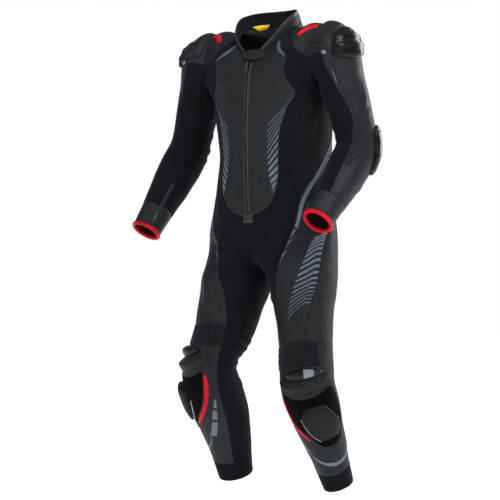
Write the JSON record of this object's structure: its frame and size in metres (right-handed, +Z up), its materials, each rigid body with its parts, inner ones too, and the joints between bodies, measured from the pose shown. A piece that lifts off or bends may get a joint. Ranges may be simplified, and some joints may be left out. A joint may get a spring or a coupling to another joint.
{
  "type": "one-piece motorcycle race suit",
  "caption": "Empty one-piece motorcycle racing suit held in a worn standing pose, with stand collar, front zip, stretch inserts, shoulder and knee cups and sliders.",
  "frame": {"origin": "on the body's centre line inside the neck, level with the points of the shoulders, where the wearer's shoulders carry the suit", "axes": "+Z up, +Y from front to back, so the zip faces -Y; +X to the wearer's left"},
  "size_m": [0.7394, 0.4025, 1.4069],
  "materials": {
    "leather": "fine-grained black cowhide, satin",
    "stretch": "black woven stretch fabric, matt",
    "pad": "padded black leather, satin",
    "gloss": "glossy black moulded plastic",
    "velcro": "black loop fastener, matt",
    "red": "red synthetic leather, satin",
    "metal": "dark metal zip parts",
    "label": "yellow woven label, blank"
  },
  "bodies": {
    "suit": {"back_upper_left": "leather", "back_upper_right": "leather", "chest_stretch_left": "stretch", "chest_stretch_right": "stretch", "cuff_binding_left": "red", "cuff_binding_right": "red", "cuff_left": "leather", "cuff_right": "leather", "elbow_slider_left": "gloss", "elbow_slider_right": "gloss", "elbow_stretch_left": "stretch", "elbow_stretch_right": "stretch", "forearm_outer_left": "leather", "forearm_outer_right": "leather", "front_shield_left": "leather", "front_shield_right": "leather", "front_stretch_left": "stretch", "front_stretch_right": "stretch", "hem_left": "stretch", "hem_right": "stretch", "hip_outer_left": "leather", "hip_outer_right": "leather", "inner_leg_left": "stretch", "inner_leg_right": "stretch", "knee_cup_left": "gloss", "knee_cup_right": "gloss", "knee_pad_left": "pad", "knee_pad_right": "pad", "knee_slider_left": "gloss", "knee_slider_right": "gloss", "knee_stretch_left": "stretch", "knee_stretch_right": "stretch", "leg_back_left": "leather", "leg_back_right": "leather", "piping_left": "red", "piping_right": "red", "red_band_left": "red", "red_band_right": "red", "shin_left": "leather", "shin_right": "leather", "shoulder_cup_left": "gloss", "shoulder_cup_right": "gloss", "side_panel_left": "stretch", "side_panel_right": "stretch", "sleeve_inner_left": "stretch", "sleeve_inner_right": "stretch", "sleeve_outer_left": "leather", "sleeve_outer_right": "leather", "thigh_front_left": "leather", "thigh_front_right": "leather", "velcro_left": "velcro", "velcro_right": "velcro", "yoke_left": "leather", "yoke_right": "leather", "collar": "stretch", "collar_tab": "leather", "neck_label_right": "label", "zip_main": "stretch", "zip_slider": "metal"},
    "pull": {"zip_pull": "metal"}
  },
  "joints": [
    {"name": "pull_hinge", "type": "hinge", "parent": "suit", "child": "pull", "pos_m": [0, -0.1304, -0.0627], "axis": [-1, 0, 0], "range_deg": [0, 150]}
  ]
}
